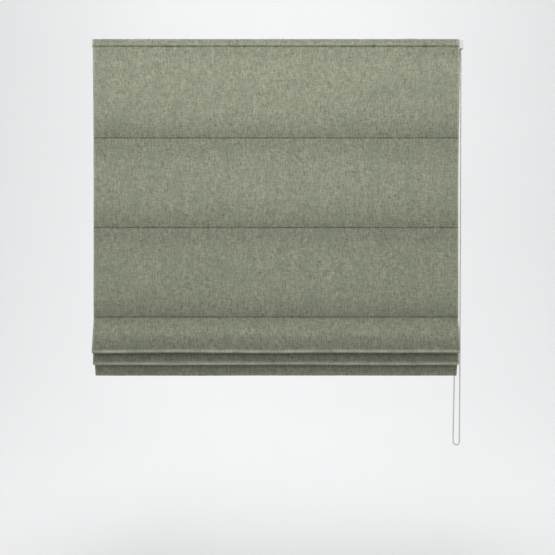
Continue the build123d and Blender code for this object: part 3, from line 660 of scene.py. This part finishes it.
def clothShift(x, distance, place):
    # how far the cloth lies forward of its plain section, and the fold lips' own waves
    nearest = min(range(3), key=lambda n: abs(distance - seams[n]))
    away = abs(distance - seams[nearest])
    fromHeader = distance - headerStitch
    forward = 0.0
    if fromHeader > 0:
        away = min(away, fromHeader)
        fading = math.exp(-(max(distance - seams[2], 0) / cloth["fadeReach"]) ** 2)
        forward = cloth["swell"] * (1 - math.exp(-(away / cloth["swellReach"]) ** 2)) * fading
        broad = smooth(away / cloth["undulationReach"]) * fading
        rate = cloth["undulationRate"]
        forward += cloth["undulation"] * broad * noise.noise(Vector((x * rate[0], distance * rate[1], 1.7)))
        waves = cloth["puckerWaves"]
        ripple = wave(x, waves[0], 3.0 * nearest) + 0.5 * wave(x, waves[1], 5.5 + nearest)
        forward += cloth["pucker"] * math.exp(-away / cloth["puckerReach"]) * ripple * fading
        hang = math.exp(-fromHeader / cloth["drapeReach"]) * smooth(fromHeader / cloth["drapeStart"])
        forward += cloth["drape"] * hang * wave(x, cloth["drapeWave"], 8.8)
    aside = 0.0
    out = 0.0
    up = 0.0
    if distance > seams[2]:
        lip = foldWaves[0 if distance < crestA else 1 if distance < crestB else 2]
        fold = smooth((lip["top"] - place.y) / lip["fall"])
        seed = lip["seed"]
        out = lip["out"] * fold * wave(x, lipWaves["out"], seed)
        long, short = lipWaves["long"], lipWaves["short"]
        up = fold * (long[1] * wave(x, long[0], seed + 1) + short[1] * wave(x, short[0], seed + 2))
        if distance >= crestB:
            up *= lipWaves["flapShare"]
            narrowing = smooth((cloth["flapTop"] - place.y) / cloth["flapDepth"])
            aside = -cloth["flapPull"] * narrowing * x / cloth["halfWidth"]
    wander = wave(distance, cloth["hemWave"], 4.0 if x > 0 else 4.6)
    aside += cloth["hemWander"] * wander * smooth((abs(x) - cloth["hemFrom"]) / cloth["hemRun"])
    return forward, aside, out, up


def clothPlace(x, distance, depth):
    place, inwards = sectionAt(distance)
    if depth > cloth["thickness"]:
        share = smooth((distance - seams[2]) / cloth["foldDepthRun"])
        depth = min(depth, depth + (cloth["foldDepth"] - depth) * share)
    forward, aside, out, up = clothShift(x, distance, place)
    spot = place + inwards * (depth - forward)
    return Vector((x + aside, spot.x - out, spot.y + up))


def clothColumns(half, hem, depth, thickness, column):
    # across the cloth: (x, depth behind the face side, flat position)
    count = round(2 * half / column)
    if not hem:
        places = [-half + 2 * half * n / count for n in range(count + 1)]
        return [(x, depth, x) for x in places]
    radius = thickness / 2
    turn = half - thickness
    right = [(turn + radius * math.sin(a), thickness - radius * math.cos(a)) for a in (0.6, 1.2, 1.9, 2.5)]
    right += [(turn - (hem - thickness) * n / 4, thickness + radius) for n in range(5)]
    flat = turn
    previous = (turn, radius)
    edge = []
    for spot in right:
        flat += math.dist(previous, spot)
        edge.append((*spot, flat))
        previous = spot
    places = [-turn + 2 * turn * n / count for n in range(count + 1)]
    front = [(x, radius, x) for x in places]
    return [(-x, d, -f) for x, d, f in reversed(edge)] + front + edge


rowSpacing = {"bend": 18, "nearSeam": (0.0, 0.0009, 0.002, 0.0042), "least": 0.0004}


def clothRows(start, end, row):
    # distances along the cloth, closer together in bends and beside the seams
    marks = {start, end}
    for kind, begin, length, _, more in clothParts:
        if kind == "run":
            count = max(1, math.ceil(length / row))
        else:
            count = max(math.ceil(more[2] / math.radians(rowSpacing["bend"])), math.ceil(length / row), 2)
        marks.update(begin + length * n / count for n in range(count + 1))
    for seam in [headerStitch] + seams:
        marks.update(seam + side * gap for side in (-1, 1) for gap in rowSpacing["nearSeam"])
    rows = []
    for mark in sorted(marks):
        if start + 1e-7 < mark < end - 1e-7:
            if not rows or mark - rows[-1] > rowSpacing["least"]:
                rows.append(mark)
    rows = [mark for mark in rows if min(mark - start, end - mark) > rowSpacing["least"]]
    return [start] + rows + [end]


# What the cloth material reads at each point: dark seam lines, pale side edges with a painted highlight along
# the fold lips, and painted shade
clothMarks = {
    "seamReach": 0.0016, "headerReach": 0.0024, "gather": (0.8, 0.4, 0.02, 40, 3.3),
    "tackReach": 0.0034, "tackLength": 0.011, "tackFrom": 0.22, "tackRun": 0.2,
    "lipReach": 0.0036, "wearAndPaintedHighlight": (0.8, 0.5, 0.04, 9, 6.3),
    "edgePale": 0.6, "edgeFrom": 0.5405, "edgeRun": 0.004,
    # the painted shade beside the seams, below the header, towards its top, down the first fold and under
    # each lip
    "nearSeam": (0.5, 0.055), "belowHeader": (0.45, 0.03), "headerShade": (0.45, -0.0165, 0.005),
    "foldFront": (0.85, 0.02, 0.08), "underLipA": (0.95, -0.944, 0.0055), "underLipB": (0.85, -0.982, 0.005),
}


def bell(away, reach):
    return math.exp(-(away / reach) ** 2)


def paintedShadeDepth(distance):
    # painted shade: deepest beside the seams, down the front of the first fold and just under each lip, and
    # darker towards the top of the header
    height = sectionAt(distance)[0].y
    fromHeader = abs(distance - headerStitch)
    if crestA < distance < lipB:
        most, spot, reach = clothMarks["underLipA"]
        return most * bell(height - spot, reach)
    if distance > crestB:
        most, spot, reach = clothMarks["underLipB"]
        return most * bell(height - spot, reach)
    if distance > lipA:
        return 0.0
    if frontStart < distance < headerStitch and fromHeader < clothMarks["belowHeader"][1]:
        most, spot, reach = clothMarks["headerShade"]
        return most * smooth((height - spot) / reach)
    most, reach = clothMarks["nearSeam"]
    tone = most * bell(min(abs(distance - seam) for seam in seams), reach)
    if distance > headerStitch:
        most, reach = clothMarks["belowHeader"]
        tone += most * bell(fromHeader, reach)
    if distance > seams[2]:
        most, gap, reach = clothMarks["foldFront"]
        tone = max(tone, most * smooth((distance - seams[2] - gap) / reach))
    return tone


def uneven(x, distance, values):
    base, amount, length, rate, seed = values
    return base + amount * noise.noise(Vector((x / length, distance * rate, seed)))


pointMarks = ("seamShade", "edgePale", "paintedShade")


def clothMesh(name, places, flat, wide, corners):
    # a sheet of points in rows, wide points to a row, with their flat positions as its UV map
    faces = []
    for first in range(0, len(places) - wide, wide):
        faces += [corners(a, wide) for a in range(first, first + wide - 1)]
    mesh = bpy.data.meshes.new(name)
    mesh.from_pydata(places, [], faces)
    layer = mesh.uv_layers.new(name="clothPlace")
    for loop in mesh.loops:
        layer.data[loop.index].uv = flat[loop.vertex_index]
    for mark in pointMarks:
        mesh.attributes.new(mark, "FLOAT", "POINT")
    return mesh


def makeStrip(name, start, end, lining=False, hem=True):
    # one stretch of the cloth, with its flat position as its UV map
    half = cloth["liningHalf"] if lining else cloth["halfWidth"]
    depth = cloth["liningDepth"] if lining else cloth["thickness"] / 2
    turned = cloth["sideHem"] if hem and not lining else 0
    column = cloth["liningColumn"] if lining else cloth["column"]
    columns = clothColumns(half, turned, depth, cloth["thickness"], column)
    rows = clothRows(start, end, cloth["liningRow"] if lining else cloth["row"])
    places = [clothPlace(x, distance, d) for distance in rows for x, d, _ in columns]
    flat = [(f, distance) for distance in rows for _, _, f in columns]
    mesh = clothMesh(name, places, flat, len(columns), lambda a, wide: (a, a + wide, a + wide + 1, a + 1))
    shade, pale, tone = (mesh.attributes[mark] for mark in pointMarks)
    n = 0
    for distance in rows:
        fromHeader = abs(distance - headerStitch)
        away = min([fromHeader] + [abs(distance - seam) for seam in seams])
        line = max(bell(away, clothMarks["seamReach"]), bell(fromHeader, clothMarks["headerReach"]))
        tackLine = bell(fromHeader, clothMarks["tackReach"])
        lip = max(bell(distance - spot, clothMarks["lipReach"]) for spot in (lipAFront, lipBFront))
        # painted shade for this row
        deep = paintedShadeDepth(distance)
        for x, _, _ in columns:
            tack = noise.noise(Vector((x / clothMarks["tackLength"], 4.1, 2.9)))
            tack = smooth((tack - clothMarks["tackFrom"]) / clothMarks["tackRun"])
            seam = max(line * uneven(x, distance, clothMarks["gather"]), tackLine * tack)
            shade.data[n].value = 0.0 if lining else min(1.0, seam)
            # the pale line along each fold lip is a painted highlight
            wearAndPaintedHighlight = lip * uneven(x, distance, clothMarks["wearAndPaintedHighlight"])
            edge = smooth((abs(x) - clothMarks["edgeFrom"]) / clothMarks["edgeRun"])
            pale.data[n].value = min(1.0, max(clothMarks["edgePale"] * edge, wearAndPaintedHighlight))
            tone.data[n].value = 0.0 if lining else deep
            n += 1
    piece = meshPiece(name, mesh, liningSateen if lining else sageLinen)
    thicken(piece, cloth["liningThickness"] if lining else cloth["thickness"])
    return piece


# each blend's start and end height for the face, then for the lining
unfoldA = ("blend", "rod_4_body", (-0.936, -0.866), (-0.922, -0.855))
unfoldB = ("blend", "rod_5_body", (-0.974, -0.887), (-0.952, -0.867))
stretches = [
    # name, start, end, body, what it hangs from, and how it moves: squash with a joint, or blend
    ("panel_1", headerFoot, seams[0], "root", "headrail", ("squash", "lift_rod_1", headerEnd)),
    ("panel_2", seams[0], seams[1], "rod_1_body", "rod_1", ("squash", "lift_rod_2", rodHeights[0])),
    ("panel_3", seams[1], seams[2], "rod_2_body", "rod_2", ("squash", "lift_rod_3", rodHeights[1])),
    ("fold_a_front", seams[2], lipA, "rod_3_body", "rod_3", None),
    ("fold_a_back", lipA, crestA, "rod_3_body", "rod_3", unfoldA),
    ("fold_b_front", crestA, lipB, "rod_4_body", "rod_4", None),
    ("fold_b_back", lipB, crestB, "rod_4_body", "rod_4", unfoldB),
    ("flap", crestB, clothLength, "rod_5_body", "rod_5", None),
]


def setMoving(piece, body, moving):
    # a blending piece stays in place with its transform baked in, and the others ride their body, a squashed
    # one with a mesh of its own; the blends' listed heights have the lining follow later than the face in an
    # unfolding fold, so that it comes to lie behind
    if moving and moving[0] == "blend":
        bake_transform(piece)
        return
    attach(piece, body)
    if moving:
        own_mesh(piece)


header = makeStrip("face_header", 0.0, headerFoot, hem=False)
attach(header, "root")
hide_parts("face_fabric")
for name, start, end, body, hangsFrom, moving in stretches:
    face = makeStrip("face_" + name, start, end)
    setMoving(face, body, moving)
    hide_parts("face_fabric")
    last = min(end, liningEnd)
    back = makeStrip("lining_" + name, start, last, lining=True)
    setMoving(back, body, moving)
    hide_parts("lining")
print("cloth made")

# Rod pockets: the lining wraps each rod and is stitched under it
pockets = {
    "y": 0.0004, "radius": 0.00325, "neckGap": 0.0003, "column": 0.02, "steps": 26,
    "loose": 0.00025, "looseWave": 0.05, "looseTurn": 0.4,  # slight unevenness of the cloth round the rod
}
rods = [
    # body, rod height, and where the pocket leaves the lining
    ("rod_1_body", -0.297, (-0.0056, -0.297)), ("rod_2_body", -0.5655, (-0.0056, -0.5655)),
    ("rod_3_body", -0.834, (-0.0056, -0.834)), ("rod_4_body", -0.847, (-0.0078, -0.8546)),
    ("rod_5_body", -0.860, (-0.0009, -0.8662)),
]
stitching = {
    "size": (0.0007, 0.0007, 0.0030), "pitch": 0.004, "proud": 0.0001,
    "faceHalf": 0.5455, "liningHalf": 0.533,  # where the rows of stitches end
    "hemHalf": 0.5405, "hemPitch": 0.006, "hemUp": 0.0025,
    "neckShare": 0.35, "neckDrop": 0.00055,  # the pocket's stitches lie under its neck
}


def stitchRow(name, places, material, body):
    # one row of stitches, all copies of one rounded stitch
    clearSelection()
    bpy.ops.mesh.primitive_uv_sphere_add(segments=8, ring_count=4, radius=0.5, rotation=(0, math.pi / 2, 0))
    stitch = bpy.context.object
    stitch.scale = stitching["size"]
    bpy.ops.object.transform_apply(location=False, rotation=True, scale=True)
    row = joinCopies(name, stitch, [Matrix.Translation(place) for place in places], material)
    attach(row, body)
    return row


def stitchXs(half, pitch):
    count = int(2 * half / pitch)
    return [-half + pitch * (n + 0.5) for n in range(count)]


faceXs = stitchXs(stitching["faceHalf"], stitching["pitch"])
for number, (body, height, root) in enumerate(rods, 1):
    centre = Vector((pockets["y"], height))
    neck = centre - Vector(root)
    way = neck.normalized()
    side = Vector((-way.y, way.x)) * pockets["neckGap"]
    opening = math.asin(pockets["neckGap"] / pockets["radius"])
    steps = pockets["steps"]
    section = [Vector(root) + side]
    back = math.atan2(-way.y, -way.x)
    for n in range(steps + 1):
        angle = back - opening - (2 * math.pi - 2 * opening) * n / steps
        section.append(centre + pockets["radius"] * Vector((math.cos(angle), math.sin(angle))))
    section.append(Vector(root) - side)
    count = round(2 * cloth["liningHalf"] / pockets["column"])
    xs = [-cloth["liningHalf"] + 2 * cloth["liningHalf"] * n / count for n in range(count + 1)]
    places = []
    flat = []
    passed = 0.0
    for n, spot in enumerate(section):
        passed += (spot - section[n - 1]).length if n else 0.0
        for x in xs:
            grainPlace = Vector((x / pockets["looseWave"], n * pockets["looseTurn"], number))
            loose = pockets["loose"] * noise.noise(grainPlace)
            out = (spot - centre).normalized() * loose if 0 < n <= steps else Vector((0, 0))
            places.append((x, spot.x + out.x, spot.y + out.y))
            flat.append((x, passed + number))
    mesh = clothMesh("rod_pocket", places, flat, len(xs), lambda a, wide: (a, a + 1, a + wide + 1, a + wide))
    pocket = meshPiece(f"lining_pocket_{number}", mesh, liningSateen)
    thicken(pocket, cloth["liningThickness"])
    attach(pocket, body)
    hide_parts("lining")
    if number <= len(seams):
        places = [clothPlace(x, seams[number - 1], -stitching["proud"]) for x in faceXs]
        stitchRow(f"face_stitches_{number}", places, yarns["seamThread"], body)
    under = Vector(root) + neck * stitching["neckShare"] - Vector((0, stitching["neckDrop"]))
    places = [(x, under.x, under.y) for x in stitchXs(stitching["liningHalf"], stitching["pitch"])]
    stitchRow(f"pocket_stitches_{number}", places, yarns["liningThread"], body)

places = [clothPlace(x, headerStitch, -stitching["proud"]) for x in faceXs]
stitchRow("face_stitches_header", places, yarns["seamThread"], "root")
hemXs = stitchXs(stitching["hemHalf"], stitching["hemPitch"])
places = [clothPlace(x, clothLength - stitching["hemUp"], -stitching["proud"]) for x in hemXs]
stitchRow("hem_stitches", places, yarns["seamThread"], "rod_5_body")
print("pockets and stitching made")

# Lift cords, cut where they pass from one moving body to the next
cords = {"xs": (-0.478, -0.1593, 0.1593, 0.478), "y": 0.00817, "radius": 0.0007}
cordStretches = [
    ("top", -0.016, headerEnd, "root", None),
    ("1", headerEnd, -0.297, "root", ("squash", "lift_rod_1", headerEnd)),
    ("2", -0.297, -0.5655, "rod_1_body", ("squash", "lift_rod_2", -0.297)),
    ("3", -0.5655, -0.834, "rod_2_body", ("squash", "lift_rod_3", -0.5655)),
    ("4", -0.834, -0.847, "rod_3_body", ("blend", "rod_4_body", (-0.834, -0.847))),
    ("5", -0.847, -0.860, "rod_4_body", ("blend", "rod_5_body", (-0.847, -0.860))),
    ("end", -0.860, -0.867, "rod_5_body", None),
]
for name, top, bottom, body, moving in cordStretches:
    clearSelection()
    bpy.ops.mesh.primitive_cylinder_add(
        vertices=10, radius=cords["radius"], depth=top - bottom, end_fill_type="NGON",
    )
    cord = bpy.context.object
    placings = [Matrix.Translation((x, cords["y"], (top + bottom) / 2)) for x in cords["xs"]]
    stretch = joinCopies("lift_cords_" + name, cord, placings, yarns["braidedCord"])
    useOnly(stretch)
    bpy.ops.object.shade_smooth_by_angle(angle=math.radians(50))
    setMoving(stretch, body, moving)
    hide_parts("lift_cord_1", "lift_cord_2", "lift_cord_3", "lift_cord_4")

# Turns of cord on each spool
windings = {"radius": 0.00787, "turns": 9, "pitch": 0.00142, "start": 0.0009, "z": -0.016}
clearSelection()
bpy.ops.mesh.primitive_torus_add(
    major_segments=28, minor_segments=8, major_radius=windings["radius"], minor_radius=cords["radius"],
    rotation=(0, math.pi / 2, 0),
)
turn = bpy.context.object
bpy.ops.object.transform_apply(location=False, rotation=True, scale=False)
placings = []
for x in cords["xs"]:
    for n in range(windings["turns"]):
        offset = windings["start"] + windings["pitch"] * (n + 0.5)
        placings.append(Matrix.Translation((x + offset, 0, windings["z"])))
wound = joinCopies("cord_turns", turn, placings, yarns["braidedCord"])
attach(wound, "drive")
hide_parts("cord_windings")
print("lift cords made")

# Hook and loop tape behind the header
tapeShape = {
    "width": 1.086, "height": 0.0199, "thickness": 0.0008, "z": -0.0145,
    "cells": (500, 10), "napRate": (400, 500, 90),
}
tapes = {
    "hook_tape": {"middle": -0.0205, "nap": 0.00012, "finish": "hookTape"},
    "loop_tape": {"middle": -0.0215, "nap": 0.00018, "finish": "loopTape"},
}
for name, tape in tapes.items():
    clearSelection()
    cells = tapeShape["cells"]
    bpy.ops.mesh.primitive_grid_add(
        x_subdivisions=cells[0], y_subdivisions=cells[1], size=1.0, rotation=(math.pi / 2, 0, 0),
    )
    piece = bpy.context.object
    piece.name = name + "_strip"
    piece.scale = (tapeShape["width"], tapeShape["height"], 1.0)
    piece.location = (0, tape["middle"], tapeShape["z"])
    bpy.ops.object.transform_apply(location=True, rotation=True, scale=True)
    rate = tapeShape["napRate"]
    for vertex in piece.data.vertices:
        spot = Vector((vertex.co.x * rate[0], vertex.co.z * rate[1], tape["middle"] * rate[2]))
        vertex.co.y += tape["nap"] * noise.noise(spot)
    thicken(piece, tapeShape["thickness"])
    piece.data.materials.clear()
    piece.data.materials.append(yarns[tape["finish"]])
    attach(piece, "root")
    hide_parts(name)
print("tapes made")

# The frame's own hard pieces take their finishes
for part in frame["record"]["subparts"]:
    node = frame["nodes"][part["node"]]
    if not node.hide_render:
        node.data.materials.clear()
        node.data.materials.append(hardMaterials[part["material_slot"]])
print("hard pieces finished")

# Floor and backdrop in one bent sheet, and the lights
room = {
    "floorZ": -1.9, "near": -7.0, "bendY": 3.0, "bendRadius": 3.5, "bendSteps": 12,
    "top": 7.0, "half": 9.0, "colour": colour(0.88, 0.88, 0.875),
    "mottle": (1.5, 1.5, 1.5), "mottleTone": (0.98, 1.0), "sky": colour(0.93, 0.96, 1.0), "skyStrength": 0.38,
}
material, tree, shader = startMaterial("paleRoom", {"Roughness": 0.9, "Specular IOR Level": 0.1})
place = addNode(tree, "TexCoord").outputs["Object"]
tone = spread(tree, grainNoise(tree, place, room["mottle"]), 0.3, 0.7, *room["mottleTone"])
tree.links.new(mixColour(tree, 1.0, room["colour"], tone, "MULTIPLY"), shader.inputs["Base Color"])
profile = [(room["near"], room["floorZ"])]
for n in range(room["bendSteps"] + 1):
    angle = math.pi / 2 * n / room["bendSteps"]
    profile.append((
        room["bendY"] + room["bendRadius"] * math.sin(angle),
        room["floorZ"] + room["bendRadius"] * (1 - math.cos(angle)),
    ))
profile.append((room["bendY"] + room["bendRadius"], room["top"]))
places = [(side * room["half"], y, z) for y, z in profile for side in (-1, 1)]
faces = [(2 * n, 2 * n + 1, 2 * n + 3, 2 * n + 2) for n in range(len(profile) - 1)]
sweep = bpy.data.meshes.new("backdrop")
sweep.from_pydata(places, [], faces)
sweep.shade_smooth()
backdrop = meshPiece("backdrop", sweep, material)

world = bpy.data.worlds.new("paleStudio")
bpy.context.scene.world = world
world.use_nodes = True
sky = world.node_tree.nodes["Background"]
sky.inputs["Color"].default_value = room["sky"]
sky.inputs["Strength"].default_value = room["skyStrength"]
lights = {
    "key": {"place": (-0.1, -1.35, 1.25), "size": 1.0, "power": 46.0, "aim": (0, 0, -0.35)},
    "fill": {"place": (0.9, -3.2, -0.4), "size": 2.0, "power": 10.0, "aim": (0, 0, -0.6)},
    "back": {"place": (1.2, 2.6, 1.6), "size": 1.8, "power": 8.0, "aim": (0, 0, -0.5)},
    "wall": {"place": (0, 2.2, 3.6), "size": 4.0, "power": 182.0, "aim": (0, 6.0, -1.5)},
}
for name, light in lights.items():
    clearSelection()
    aim = Vector(light["aim"]) - Vector(light["place"])
    turned = aim.to_track_quat("-Z", "Y").to_euler()
    bpy.ops.object.light_add(type="AREA", location=light["place"], rotation=turned)
    lamp = bpy.context.object
    lamp.name = name
    lamp.data.size = light["size"]
    lamp.data.energy = light["power"]
    lamp.visible_camera = False
print("room and lights made")
